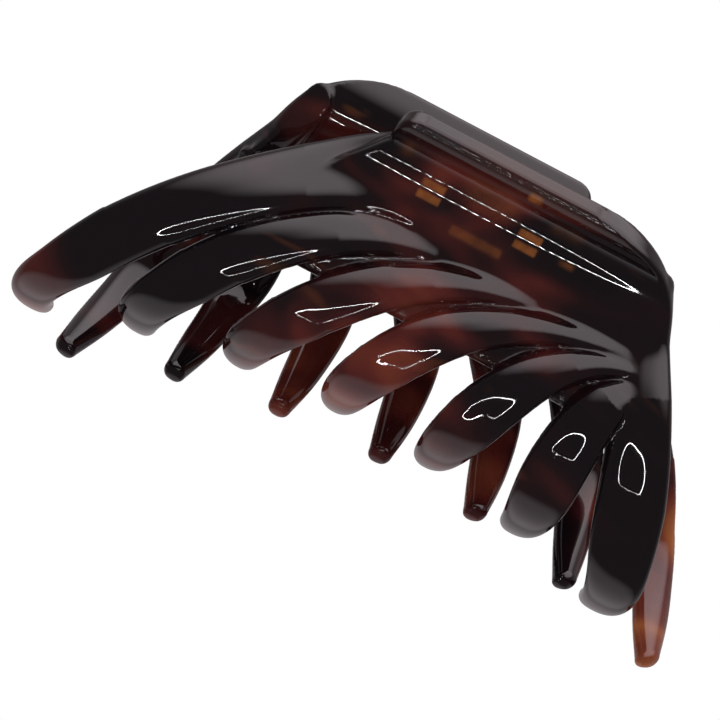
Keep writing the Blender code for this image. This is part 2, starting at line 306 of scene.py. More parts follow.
def plate_field(x, y, z):
    """Signed distance to the thumb tab and the web below it."""
    out, foot, _ = profile_foot(y, z, TIP_DROP)
    rise = np.clip((foot - TAB_HEIGHT) / TAB_LEFT_CORNER + 1, 0.0, 1.0)
    upper = -TAB_LEFT + TAB_LEFT_ROUND * (1 - np.sqrt(1 - rise**2))
    fall = np.clip((TAB_FOOT - foot) / WEB_RISE, 0.0, 1.0)
    lower = -TAB_LEFT - (WEB_LEFT - TAB_LEFT) * np.sin(fall * math.pi / 2)
    left = np.where(foot > TAB_FOOT, upper, lower)
    turn = TAB_HEIGHT - TAB_CORNER
    right = FLANK_START - FLANK_SLOPE * (np.minimum(foot, turn) - FLANK_HEIGHT)
    rise = np.clip((foot - turn) / TAB_CORNER, 0.0, 0.995)
    right = TAB_RIGHT + (right - TAB_RIGHT) * np.sqrt(1 - rise**2)
    below = np.clip((WEB_START - foot) / WEB_RUN, 0.0, 1.0)
    below = below * below * (3 - 2 * below)
    wall = TAB_WALL + (WEB_WALL - TAB_WALL) * below
    lip = np.clip((foot - TAB_HEIGHT + LIP_DROP) / LIP_RUN, 0.0, 1.0)
    lip = RIM_LIP * lip * lip * (3 - 2 * lip)
    front = out + WEB_RECESS * below - lip
    back = -out - WEB_RECESS * below - wall
    side = np.maximum(left - x, x - right)
    return rounded((front, back, side, foot - TAB_HEIGHT, -WEB_DROP - foot), RIM_ROUND)


def lug_field(centre, x, y, z):
    """Signed distance to one hinge lug and the block that joins it to the tab."""
    ends = np.abs(x - centre) - LUG_WIDTH / 2
    eye = rounded((ends, np.hypot(y, z) - LUG_RADIUS), EYE_ROUND)
    sides = (ends, -LUG_ROOT - y, y, np.abs(z) - LUG_RADIUS * LUG_ROOT_SHARE)
    return np.minimum(eye, rounded(sides, ROOT_ROUND))


def blended(a, b, fillet):
    """Union of two fields with a fillet where they meet."""
    near = np.maximum(fillet - np.abs(a - b), 0.0) / fillet
    return np.minimum(a, b) - near * near * fillet / 4


def jaw_field(points):
    """Signed distance to the whole jaw, from the hinge."""
    x, y, z = points.T
    fingers = finger_field(0, x, y, z)
    for number in range(1, len(ROOTS)):
        fingers = blended(fingers, finger_field(number, x, y, z), VALLEY_FILLET)
    field = blended(fingers, plate_field(x, y, z), WEB_FILLET)
    for centre in LUG_PLACES:
        field = blended(field, lug_field(centre, x, y, z), LUG_FILLET)
    return np.maximum(field, BORE_RADIUS - np.hypot(y, z))


def skin(field, low, high, cell):
    """Even mesh on the surface of a field, with each point moved onto the surface itself."""
    block = 4
    counts = [int(math.ceil((b - a) / (cell * block))) for a, b in zip(low, high)]
    axes = [low[k] + cell * block * (np.arange(counts[k]) + 0.5) for k in range(3)]
    coarse = np.stack(np.meshgrid(*axes, indexing="ij"), -1).reshape(-1, 3)
    level = field(coarse)
    size = [count * block + 1 for count in counts]
    grid = np.full(size, 1.0)
    middle = level.reshape(counts)
    for shift in np.ndindex(block, block, block):
        grid[shift[0] : -1 : block, shift[1] : -1 : block, shift[2] : -1 : block] = middle
    close = np.abs(level) < cell * block * 1.6
    corners = np.stack(np.unravel_index(np.flatnonzero(close), counts), -1) * block
    offsets = np.stack(np.meshgrid(*[np.arange(block + 1)] * 3, indexing="ij"), -1).reshape(-1, 3)
    spots = np.unique((corners[:, None] + offsets[None]).reshape(-1, 3), axis=0)
    grid[tuple(spots.T)] = field(np.array(low) + spots * cell)

    inside = grid < 0
    corner_steps = list(np.ndindex(2, 2, 2))
    count_in = sum(
        inside[a : a + size[0] - 1, b : b + size[1] - 1, c : c + size[2] - 1].astype(int)
        for a, b, c in corner_steps
    )
    cells = np.argwhere((count_in > 0) & (count_in < 8))
    number = np.full(count_in.shape, -1)
    number[tuple(cells.T)] = np.arange(len(cells))
    total = np.zeros((len(cells), 3))
    hits = np.zeros((len(cells), 1))
    for start in corner_steps:
        for axis in range(3):
            if start[axis]:
                continue
            end = list(start)
            end[axis] = 1
            here = grid[tuple((cells + start).T)]
            there = grid[tuple((cells + end).T)]
            cross = (here < 0) != (there < 0)
            share = np.where(cross, here / np.where(cross, here - there, 1.0), 0.0)
            spot = np.array(start, float) + np.eye(3)[axis] * share[:, None]
            total += spot * cross[:, None]
            hits += cross[:, None]
    points = np.array(low) + (cells + total / hits) * cell

    faces = []
    for axis in range(3):
        u, v = (axis + 1) % 3, (axis + 2) % 3
        after = [slice(None)] * 3
        before = [slice(None)] * 3
        after[axis] = slice(1, None)
        before[axis] = slice(None, -1)
        change = inside[tuple(before)].astype(int) - inside[tuple(after)].astype(int)
        places = np.argwhere(change != 0)
        around = []
        for du, dv in ((-1, -1), (0, -1), (0, 0), (-1, 0)):
            cell_place = places.copy()
            cell_place[:, u] += du
            cell_place[:, v] += dv
            around.append(number[tuple(cell_place.T)])
        quads = np.stack(around, -1)
        turned = change[tuple(places.T)] < 0
        quads[turned] = quads[turned][:, ::-1]
        faces.append(quads)
    faces = np.concatenate(faces)

    half = cell * 0.15
    for turn in range(4):
        slope = np.stack(
            [
                (field(points + half * axis) - field(points - half * axis)) / (2 * half)
                for axis in np.eye(3)
            ],
            -1,
        )
        steep = np.maximum((slope**2).sum(1, keepdims=True), 0.04)
        if turn < 3:
            move = field(points)[:, None] * slope / steep
            points = points - np.clip(move, -cell / 2, cell / 2)
    return points, faces, slope / np.sqrt(steep)


def shell(name, points, faces, normals):
    """Mesh object from a skin, shaded with the surface's own normals."""
    mesh = bpy.data.meshes.new(name)
    mesh.from_pydata(points.tolist(), [], faces.tolist())
    mesh.polygons.foreach_set("use_smooth", np.ones(len(faces), bool))
    mesh.normals_split_custom_set_from_vertices(normals.tolist())
    mesh.update()
    piece = bpy.data.objects.new(name, mesh)
    bpy.context.scene.collection.objects.link(piece)
    return piece


jaw_points, jaw_faces, jaw_normals = skin(jaw_field, SKIN_LOW, SKIN_HIGH, SKIN_CELL)
hinge = np.array((0.0, 0.0, HINGE_HEIGHT))

# Tortoiseshell: swirls of near-black, wine red, chestnut and amber under a polished skin, with a
# painted glow of light passing through near a few places and painted shade darkening the thick top
# rim.
RIM_SHADE_FROM = 0.0050
RIM_SHADE_TO = 0.0068


def node(tree, kind, place, **settings):
    """Shader node at a place in the tree, with its named settings."""
    made = tree.nodes.new(kind)
    made.location = place
    for name, value in settings.items():
        setattr(made, name, value)
    return made


def swirl_group():
    """Node group: flowing tortoiseshell colour, lifted near three places by a painted glow of light
    passing through, with painted shade on the top rim, and uneven polish.
    """
    tree = bpy.data.node_groups.new("tortoiseshell_swirl", "ShaderNodeTree")
    face = tree.interface
    for name, kind in (
        ("Swirl Size", "Float"),
        ("Amber", "Float"),
        ("First Place", "Vector"),
        ("First Reach", "Float"),
        ("First Lift", "Float"),
        ("Second Place", "Vector"),
        ("Second Reach", "Float"),
        ("Second Lift", "Float"),
        ("Third Place", "Vector"),
        ("Third Reach", "Float"),
        ("Third Lift", "Float"),
    ):
        face.new_socket(name, in_out="INPUT", socket_type=f"NodeSocket{kind}")
    face.new_socket("Colour", in_out="OUTPUT", socket_type="NodeSocketColor")
    face.new_socket("Polish", in_out="OUTPUT", socket_type="NodeSocketFloat")
    link = tree.links.new
    given = node(tree, "NodeGroupInput", (-1400, 0))
    out = node(tree, "NodeGroupOutput", (900, 0))
    place = node(tree, "ShaderNodeTexCoord", (-1400, -300))
    turn = node(tree, "ShaderNodeMapping", (-1200, -200))
    turn.inputs["Rotation"].default_value = (0.0, math.radians(-35), 0.0)
    turn.inputs["Scale"].default_value = (0.55, 1.0, 1.25)
    link(place.outputs["Object"], turn.inputs["Vector"])
    flow = node(tree, "ShaderNodeTexNoise", (-1000, -100))
    flow.inputs["Detail"].default_value = 2.0
    flow.inputs["Distortion"].default_value = 1.0
    link(turn.outputs["Vector"], flow.inputs["Vector"])
    link(given.outputs["Swirl Size"], flow.inputs["Scale"])
    warmths = []
    # Painted glow: the tone is lifted near each place, standing in for light passing through the
    # plastic, and lowered away from them.
    for row, name in ((300, "First"), (600, "Second"), (900, "Third")):
        reach = node(tree, "ShaderNodeVectorMath", (-1200, row), operation="DISTANCE")
        link(place.outputs["Object"], reach.inputs[0])
        link(given.outputs[f"{name} Place"], reach.inputs[1])
        near = node(tree, "ShaderNodeMath", (-1000, row), operation="DIVIDE")
        link(reach.outputs["Value"], near.inputs[0])
        link(given.outputs[f"{name} Reach"], near.inputs[1])
        warm = node(tree, "ShaderNodeMapRange", (-850, row), interpolation_type="SMOOTHSTEP")
        warm.inputs["From Min"].default_value = 0.45
        warm.inputs["From Max"].default_value = 1.0
        warm.inputs["To Max"].default_value = -0.13
        link(given.outputs[f"{name} Lift"], warm.inputs["To Min"])
        link(near.outputs["Value"], warm.inputs["Value"])
        warmths.append(warm.outputs["Result"])
    warmer = node(tree, "ShaderNodeMath", (-700, 500), operation="MAXIMUM")
    link(warmths[0], warmer.inputs[0])
    link(warmths[1], warmer.inputs[1])
    warmest = node(tree, "ShaderNodeMath", (-650, 350), operation="MAXIMUM")
    link(warmer.outputs["Value"], warmest.inputs[0])
    link(warmths[2], warmest.inputs[1])
    tone = node(tree, "ShaderNodeMath", (-600, 200), operation="ADD")
    link(flow.outputs["Fac"], tone.inputs[0])
    link(warmest.outputs["Value"], tone.inputs[1])
    dark = node(tree, "ShaderNodeValToRGB", (-450, 0))
    ramp = dark.color_ramp
    ramp.elements[0].position = 0.38
    ramp.elements[0].color = (0.007, 0.0045, 0.0060, 1)
    ramp.elements[1].position = 0.80
    ramp.elements[1].color = (0.46, 0.15, 0.045, 1)
    for spot, colour in (
        (0.46, (0.014, 0.0050, 0.0060, 1)),
        (0.54, (0.052, 0.0100, 0.0100, 1)),
        (0.62, (0.125, 0.0220, 0.0160, 1)),
        (0.71, (0.220, 0.0500, 0.0240, 1)),
    ):
        ramp.elements.new(spot).color = colour
    link(tone.outputs["Value"], dark.inputs["Fac"])
    patch = node(tree, "ShaderNodeTexNoise", (-1000, -500))
    patch.inputs["Scale"].default_value = 95.0
    patch.inputs["Detail"].default_value = 2.0
    patch.inputs["Distortion"].default_value = 1.6
    link(turn.outputs["Vector"], patch.inputs["Vector"])
    mask = node(tree, "ShaderNodeMapRange", (-700, -450), interpolation_type="SMOOTHSTEP")
    mask.inputs["From Min"].default_value = 0.64
    mask.inputs["From Max"].default_value = 0.80
    link(patch.outputs["Fac"], mask.inputs["Value"])
    amount = node(tree, "ShaderNodeMath", (-450, -400), operation="MULTIPLY")
    link(mask.outputs["Result"], amount.inputs[0])
    link(given.outputs["Amber"], amount.inputs[1])
    mix = node(tree, "ShaderNodeMix", (-150, 0), data_type="RGBA")
    link(amount.outputs["Value"], mix.inputs["Factor"])
    link(dark.outputs["Color"], mix.inputs["A"])
    mix.inputs["B"].default_value = (0.38, 0.12, 0.030, 1)
    # Painted shade: the colour darkens towards the top of the tab, where the thick rim lets less
    # light through.
    height = node(tree, "ShaderNodeSeparateXYZ", (-450, 400))
    link(place.outputs["Object"], height.inputs["Vector"])
    rim_shade = node(tree, "ShaderNodeMapRange", (-250, 400), interpolation_type="SMOOTHSTEP")
    rim_shade.inputs["From Min"].default_value = HINGE_HEIGHT + RIM_SHADE_FROM
    rim_shade.inputs["From Max"].default_value = HINGE_HEIGHT + RIM_SHADE_TO
    rim_shade.inputs["To Max"].default_value = 0.8
    link(height.outputs["Z"], rim_shade.inputs["Value"])
    rim = node(tree, "ShaderNodeMix", (100, 0), data_type="RGBA")
    link(rim_shade.outputs["Result"], rim.inputs["Factor"])
    link(mix.outputs["Result"], rim.inputs["A"])
    rim.inputs["B"].default_value = (0.010, 0.0028, 0.0032, 1)
    link(rim.outputs["Result"], out.inputs["Colour"])
    fine = node(tree, "ShaderNodeTexNoise", (-450, -800))
    fine.inputs["Scale"].default_value = 420.0
    fine.inputs["Detail"].default_value = 2.0
    link(place.outputs["Object"], fine.inputs["Vector"])
    polish = node(tree, "ShaderNodeMapRange", (-150, -700))
    polish.inputs["To Min"].default_value = 0.015
    polish.inputs["To Max"].default_value = 0.045
    link(fine.outputs["Fac"], polish.inputs["Value"])
    link(polish.outputs["Result"], out.inputs["Polish"])
    return tree


def tortoiseshell(name, swirl_size, *warm_places):
    """Polished swirled plastic, with a painted glow of light passing through about three places and
    nearly black away from them.
    """
    made = bpy.data.materials.new(name)
    made.use_nodes = True
    tree = made.node_tree
    skin_shader = tree.nodes["Principled BSDF"]
    swirl = node(tree, "ShaderNodeGroup", (-600, 0), node_tree=swirls)
    swirl.inputs["Swirl Size"].default_value = swirl_size
    swirl.inputs["Amber"].default_value = 0.20
    for spot, values in zip(("First", "Second", "Third"), warm_places):
        for what, value in zip(("Place", "Reach", "Lift"), values):
            swirl.inputs[f"{spot} {what}"].default_value = value
    tree.links.new(swirl.outputs["Colour"], skin_shader.inputs["Base Color"])
    tree.links.new(swirl.outputs["Polish"], skin_shader.inputs["Roughness"])
    skin_shader.inputs["IOR"].default_value = 1.49
    skin_shader.inputs["Transmission Weight"].default_value = 0.30
    return made


TAB_FRONT = 0.0052
TAB_FRONT_RUN = 0.0006
GRAIN_SCALE = 700.0


def paint_glow_through(material, patches):
    """Painted light: soft-edged amber bars painted into the colour of the tab's front, where the
    lugs behind the tab carry light forward.
    """
    tree = material.node_tree
    skin_shader = tree.nodes["Principled BSDF"]
    place = node(tree, "ShaderNodeTexCoord", (-1400, 500))
    parts = node(tree, "ShaderNodeSeparateXYZ", (-1200, 500))
    tree.links.new(place.outputs["Object"], parts.inputs["Vector"])
    facing = node(tree, "ShaderNodeMapRange", (-1000, 700))
    facing.inputs["From Min"].default_value = -TAB_FRONT
    facing.inputs["From Max"].default_value = -TAB_FRONT - TAB_FRONT_RUN
    tree.links.new(parts.outputs["Y"], facing.inputs["Value"])
    total = None
    for row, (middle, size, strength, edge) in enumerate(patches):
        level = facing.outputs["Result"]
        for axis, spot, half in (("X", middle[0], size[0] / 2), ("Z", middle[1], size[1] / 2)):
            gap = node(tree, "ShaderNodeMath", (-900, 400 - 200 * row), operation="SUBTRACT")
            gap.inputs[1].default_value = spot
            tree.links.new(parts.outputs[axis], gap.inputs[0])
            away = node(tree, "ShaderNodeMath", (-750, 400 - 200 * row), operation="ABSOLUTE")
            tree.links.new(gap.outputs["Value"], away.inputs[0])
            inside = node(
                tree, "ShaderNodeMapRange", (-600, 400 - 200 * row), interpolation_type="SMOOTHSTEP"
            )
            inside.inputs["From Min"].default_value = half - edge
            inside.inputs["From Max"].default_value = half + edge
            inside.inputs["To Min"].default_value = strength if axis == "X" else 1.0
            inside.inputs["To Max"].default_value = 0.0
            tree.links.new(away.outputs["Value"], inside.inputs["Value"])
            both = node(tree, "ShaderNodeMath", (-450, 400 - 200 * row), operation="MULTIPLY")
            tree.links.new(level, both.inputs[0])
            tree.links.new(inside.outputs["Result"], both.inputs[1])
            level = both.outputs["Value"]
        if total is None:
            total = level
        else:
            most = node(tree, "ShaderNodeMath", (-300, 400 - 200 * row), operation="MAXIMUM")
            tree.links.new(total, most.inputs[0])
            tree.links.new(level, most.inputs[1])
            total = most.outputs["Value"]
    grain = node(tree, "ShaderNodeTexNoise", (-700, 900))
    grain.inputs["Scale"].default_value = GRAIN_SCALE
    tree.links.new(place.outputs["Object"], grain.inputs["Vector"])
    uneven = node(tree, "ShaderNodeMapRange", (-450, 900))
    uneven.inputs["From Min"].default_value = 0.3
    uneven.inputs["From Max"].default_value = 0.6
    uneven.inputs["To Min"].default_value = 0.55
    tree.links.new(grain.outputs["Fac"], uneven.inputs["Value"])
    amount = node(tree, "ShaderNodeMath", (-250, 700), operation="MULTIPLY")
    tree.links.new(total, amount.inputs[0])
    tree.links.new(uneven.outputs["Result"], amount.inputs[1])
    under = skin_shader.inputs["Base Color"].links[0].from_socket
    mix = node(tree, "ShaderNodeMix", (-200, 200), data_type="RGBA")
    tree.links.new(amount.outputs["Value"], mix.inputs["Factor"])
    tree.links.new(under, mix.inputs["A"])
    mix.inputs["B"].default_value = (0.52, 0.17, 0.04, 1)
    tree.links.new(mix.outputs["Result"], skin_shader.inputs["Base Color"])


# Painted glow: bars of amber light painted on the tab where light shows through it: middle, size,
# strength and softness of edge of each.
GLOW_EDGE = 0.00022
LUG_BAR = (0.0029, 0.0009)
BAR_STEP = 0.0014
BAR_PLACES = (-0.0053, 0.0074)
BAR_RISE = 0.0011

FRONT_SWIRL = 52.0
# Places of painted glow, standing in for light passing through the front fingers, tab and far tip.
FINGERS_GLOW = (-0.002, -0.010, 0.009)
TAB_GLOW = (0.002, -0.007, 0.0385)
FAR_TIP_GLOW = (-0.044, -0.008, 0.004)

swirls = swirl_group()
front_plastic = tortoiseshell(
    "tortoiseshell_front",
    FRONT_SWIRL,
    (FINGERS_GLOW, 0.028, 0.17),
    (TAB_GLOW, 0.016, 0.02),
    (FAR_TIP_GLOW, 0.020, 0.20),
)
painted_glow_bars = []
for along in BAR_PLACES:
    for rise in (BAR_RISE + BAR_STEP / 2, BAR_RISE - BAR_STEP / 2):
        painted_glow_bars.append(((along, HINGE_HEIGHT + rise), LUG_BAR, 0.62, GLOW_EDGE))
# Fainter, softer patches of painted light on the tab.
painted_glow_bars.append(((0.0020, HINGE_HEIGHT - 0.0016), (0.0066, 0.0011), 0.24, GLOW_EDGE * 1.6))
painted_glow_bars.append(((0.0058, HINGE_HEIGHT + 0.0062), (0.0016, 0.0010), 0.50, GLOW_EDGE * 1.6))
painted_glow_bars.append(((0.0126, HINGE_HEIGHT + 0.0009), (0.0018, 0.0007), 0.25, GLOW_EDGE * 1.6))
painted_glow_bars.append(((0.0014, HINGE_HEIGHT + 0.0036), (0.0062, 0.0024), 0.16, GLOW_EDGE * 6))
painted_glow_bars.append(((-0.0098, HINGE_HEIGHT + 0.0044), (0.0016, 0.0014), 0.16, GLOW_EDGE * 4))
painted_glow_bars.append(((0.0110, HINGE_HEIGHT + 0.0042), (0.0040, 0.0008), 0.12, GLOW_EDGE * 4))
paint_glow_through(front_plastic, painted_glow_bars)

front_shell = shell("front_jaw_shell", jaw_points + hinge, jaw_faces, jaw_normals)
front_shell.data.materials.append(front_plastic)
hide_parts("front_jaw")
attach(front_shell, "front_half")

# ---------------------------------------------------------------------------------------------
# Rear jaw
# The same moulding turned half round about the upright line through the hinge, so that its fingers
# pass between the front ones.

turned = np.array((-1.0, -1.0, 1.0))
rear_shell = shell(
    "rear_jaw_shell", jaw_points * turned + hinge, jaw_faces, jaw_normals * turned
)
REAR_SWIRL = 46.0
# Places of painted glow, standing in for light passing through the rear jaw; the rim place lifts
# nothing and only keeps the rear rim from being lowered.
END_GLOW = (0.048, 0.004, 0.010)
MIDDLE_GLOW = (0.0025, 0.004, 0.010)
RIM_WARM = (-0.006, 0.009, 0.047)
rear_plastic = tortoiseshell(
    "tortoiseshell_rear",
    REAR_SWIRL,
    (END_GLOW, 0.024, 0.24),
    (MIDDLE_GLOW, 0.026, 0.17),
    (RIM_WARM, 0.030, 0.0),
)
rear_shell.data.materials.append(rear_plastic)
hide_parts("rear_jaw")
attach(rear_shell, "rear_half")

# ---------------------------------------------------------------------------------------------
# Hinge pin
# Straight length of bright drawn wire through the four lugs, its ends tumbled to a soft dome.

PIN_SIDES = 40
PIN_DOME = 0.00045
PIN_FLAT_SHARE = 0.55
PIN_CREASE = math.radians(40)
PIN_COLOUR = (0.62, 0.61, 0.60)
PIN_ROUGHNESS = 0.22
PIN_STREAK = (60.0, 4000.0, 4000.0)


def drawn_steel(name, colour, roughness, streak):
    """Steel wire with faint drawing marks along it."""
    made = bpy.data.materials.new(name)
    made.use_nodes = True
    tree = made.node_tree
    metal = tree.nodes["Principled BSDF"]
    metal.inputs["Metallic"].default_value = 1.0
    place = node(tree, "ShaderNodeTexCoord", (-1000, 0))
    stretch = node(tree, "ShaderNodeMapping", (-800, 0))
    stretch.inputs["Scale"].default_value = streak
    marks = node(tree, "ShaderNodeTexNoise", (-600, 0))
    marks.inputs["Scale"].default_value = 1.0
    marks.inputs["Detail"].default_value = 3.0
    tree.links.new(place.outputs["Object"], stretch.inputs["Vector"])
    tree.links.new(stretch.outputs["Vector"], marks.inputs["Vector"])
    shade = node(tree, "ShaderNodeMix", (-300, 100), data_type="RGBA")
    shade.inputs["A"].default_value = (*[c * 0.7 for c in colour], 1.0)
    shade.inputs["B"].default_value = (*colour, 1.0)
    tree.links.new(marks.outputs["Fac"], shade.inputs["Factor"])
    tree.links.new(shade.outputs["Result"], metal.inputs["Base Color"])
    worn = node(tree, "ShaderNodeMapRange", (-300, -200))
    worn.inputs["To Min"].default_value = roughness * 0.7
    worn.inputs["To Max"].default_value = roughness * 1.4
    tree.links.new(marks.outputs["Fac"], worn.inputs["Value"])
    tree.links.new(worn.outputs["Result"], metal.inputs["Roughness"])
    return made


pin_low, pin_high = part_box("hinge_pin")
pin_radius = (pin_high[2] - pin_low[2]) / 2
dome = np.linspace(0.0, math.pi / 2, 7)
pin_along = np.concatenate(
    (pin_low[0] + PIN_DOME * (1 - np.cos(dome)), pin_high[0] - PIN_DOME * (1 - np.cos(dome[::-1])))
)
pin_size = np.concatenate((np.sin(dome), np.sin(dome[::-1])))
pin_size = pin_radius * (PIN_FLAT_SHARE + (1 - PIN_FLAT_SHARE) * pin_size)
angles = np.linspace(0, 2 * math.pi, PIN_SIDES, endpoint=False)
pin_points = [
    (a, size * math.cos(t), HINGE_HEIGHT + size * math.sin(t))
    for a, size in zip(pin_along, pin_size)
    for t in angles
]
pin_faces = [
    (
        row * PIN_SIDES + k,
        (row + 1) * PIN_SIDES + k,
        (row + 1) * PIN_SIDES + (k + 1) % PIN_SIDES,
        row * PIN_SIDES + (k + 1) % PIN_SIDES,
    )
    for row in range(len(pin_along) - 1)
    for k in range(PIN_SIDES)
]
pin_faces.append(tuple(range(PIN_SIDES)))
pin_faces.append(tuple(reversed(range((len(pin_along) - 1) * PIN_SIDES, len(pin_points)))))
pin_mesh = bpy.data.meshes.new("wire_pin")
pin_mesh.from_pydata(pin_points, [], pin_faces)
outward = bmesh.new()
outward.from_mesh(pin_mesh)
bmesh.ops.recalc_face_normals(outward, faces=outward.faces)
outward.to_mesh(pin_mesh)
outward.free()
pin_mesh.shade_smooth()
pin_mesh.set_sharp_from_angle(angle=PIN_CREASE)
wire_pin = bpy.data.objects.new("wire_pin", pin_mesh)
bpy.context.scene.collection.objects.link(wire_pin)
pin_steel = drawn_steel("pin_steel", PIN_COLOUR, PIN_ROUGHNESS, PIN_STREAK)
pin_mesh.materials.append(pin_steel)
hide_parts("hinge_pin")
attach(wire_pin, "front_half")

# ---------------------------------------------------------------------------------------------
# Torsion spring
# Close coil of spring wire about the pin, between the lugs. One leg bears on each tab. In the real
# clip squeezing the tabs winds the coil; here it is a still piece that does not wind.

SPRING_TURNS = 8.5
SPRING_RADIUS = 0.00205
SPRING_RUN = 0.0091
SPRING_WIRE = 0.00045
LEG_HEIGHT = 0.0062
LEG_LEAN = 0.0017
SPRING_COLOUR = (0.50, 0.49, 0.48)
SPRING_ROUGHNESS = 0.28
SPRING_STREAK = (900.0, 900.0, 900.0)


def coil_tree(steel):
    """Geometry Nodes tree: a coil along X with a straight leg at each end."""
    tree = bpy.data.node_groups.new("torsion_coil", "GeometryNodeTree")
    face = tree.interface
    face.new_socket("Geometry", in_out="INPUT", socket_type="NodeSocketGeometry")
    for name in ("Turns", "Coil Radius", "Coil Run", "Wire Radius"):
        face.new_socket(name, in_out="INPUT", socket_type="NodeSocketFloat")
    for name in ("Leg Rise", "Place"):
        face.new_socket(name, in_out="INPUT", socket_type="NodeSocketVector")
    face.new_socket("Geometry", in_out="OUTPUT", socket_type="NodeSocketGeometry")
    link = tree.links.new
    given = node(tree, "NodeGroupInput", (-1400, 0))
    coil = node(tree, "GeometryNodeCurveSpiral", (-1100, 200))
    coil.inputs["Resolution"].default_value = 40
    link(given.outputs["Turns"], coil.inputs["Rotations"])
    link(given.outputs["Coil Radius"], coil.inputs["Start Radius"])
    link(given.outputs["Coil Radius"], coil.inputs["End Radius"])
    link(given.outputs["Coil Run"], coil.inputs["Height"])
    lay = node(tree, "GeometryNodeTransform", (-850, 200))
    lay.inputs["Rotation"].default_value = (0.0, math.pi / 2, 0.0)
    link(coil.outputs["Curve"], lay.inputs["Geometry"])
    roll = node(tree, "GeometryNodeTransform", (-650, 200))
    roll.inputs["Rotation"].default_value = (-math.pi / 2, 0.0, 0.0)
    link(lay.outputs["Geometry"], roll.inputs["Geometry"])
    joined = node(tree, "GeometryNodeJoinGeometry", (-150, 100))
    link(roll.outputs["Geometry"], joined.inputs["Geometry"])
    for side in (-1.0, 1.0):
        foot = node(tree, "ShaderNodeCombineXYZ", (-850, -200 * side))
        if side > 0:
            link(given.outputs["Coil Run"], foot.inputs["X"])
        reach = node(tree, "ShaderNodeMath", (-1050, -250 * side), operation="MULTIPLY")
        reach.inputs[1].default_value = side
        link(given.outputs["Coil Radius"], reach.inputs[0])
        link(reach.outputs["Value"], foot.inputs["Y"])
        mirror = node(tree, "ShaderNodeVectorMath", (-850, -350 * side), operation="MULTIPLY")
        mirror.inputs[1].default_value = (1.0, side, 1.0)
        link(given.outputs["Leg Rise"], mirror.inputs[0])
        top = node(tree, "ShaderNodeVectorMath", (-650, -300 * side), operation="ADD")
        link(foot.outputs["Vector"], top.inputs[0])
        link(mirror.outputs["Vector"], top.inputs[1])
        leg = node(tree, "GeometryNodeCurvePrimitiveLine", (-450, -250 * side))
        link(foot.outputs["Vector"], leg.inputs["Start"])
        link(top.outputs["Vector"], leg.inputs["End"])
        link(leg.outputs["Curve"], joined.inputs["Geometry"])
    middle = node(tree, "GeometryNodeTransform", (50, 100))
    link(joined.outputs["Geometry"], middle.inputs["Geometry"])
    link(given.outputs["Place"], middle.inputs["Translation"])
    section = node(tree, "GeometryNodeCurvePrimitiveCircle", (50, -200))
    section.inputs["Resolution"].default_value = 14
    link(given.outputs["Wire Radius"], section.inputs["Radius"])
    tube = node(tree, "GeometryNodeCurveToMesh", (250, 100))
    tube.inputs["Fill Caps"].default_value = True
    link(middle.outputs["Geometry"], tube.inputs["Curve"])
    link(section.outputs["Curve"], tube.inputs["Profile Curve"])
    smooth = node(tree, "GeometryNodeSetShadeSmooth", (450, 100))
    link(tube.outputs["Mesh"], smooth.inputs["Geometry"])
    whole = node(tree, "GeometryNodeRealizeInstances", (650, 100))
    link(smooth.outputs["Geometry"], whole.inputs["Geometry"])
    finish = node(tree, "GeometryNodeSetMaterial", (850, 100))
    finish.inputs["Material"].default_value = steel
    link(whole.outputs["Geometry"], finish.inputs["Geometry"])
    out = node(tree, "NodeGroupOutput", (1050, 100))
    link(finish.outputs["Geometry"], out.inputs["Geometry"])
    return tree


spring_steel = drawn_steel("spring_steel", SPRING_COLOUR, SPRING_ROUGHNESS, SPRING_STREAK)
coil_nodes = coil_tree(spring_steel)
carrier = bpy.data.objects.new("coil_carrier", bpy.data.meshes.new("coil_carrier"))
bpy.context.scene.collection.objects.link(carrier)
maker = carrier.modifiers.new("coil", "NODES")
maker.node_group = coil_nodes
coil_sizes = {
    "Turns": SPRING_TURNS,
    "Coil Radius": SPRING_RADIUS,
    "Coil Run": SPRING_RUN,
    "Wire Radius": SPRING_WIRE,
    "Leg Rise": (0.0, LEG_LEAN, LEG_HEIGHT),
    "Place": (-SPRING_RUN / 2, 0.0, HINGE_HEIGHT),
}
for socket in coil_nodes.interface.items_tree:
    if socket.in_out == "INPUT" and socket.name in coil_sizes:
        maker[socket.identifier] = coil_sizes[socket.name]
bpy.context.view_layer.update()
ready = carrier.evaluated_get(bpy.context.evaluated_depsgraph_get())
coil_mesh = bpy.data.meshes.new_from_object(ready)
coil_mesh.name = "spring_coil"
bpy.data.objects.remove(carrier)
spring_coil = bpy.data.objects.new("spring_coil", coil_mesh)
bpy.context.scene.collection.objects.link(spring_coil)
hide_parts("torsion_spring")
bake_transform(spring_coil)

# ---------------------------------------------------------------------------------------------
# Camera, floor and light
# A pale sweep without shadows, a wide soft light overhead and a strip lamp round the lens.

FOCUS = 1500.0
PICTURE_SIDE = 720.0
SENSOR = 36.0
CAMERA_RISE = math.radians(14.9)
CAMERA_TURN = math.radians(2.0)
CAMERA_ROLL = math.radians(27.6)
CAMERA_SHIFT = (-0.0038, -0.0218, 0.1814)

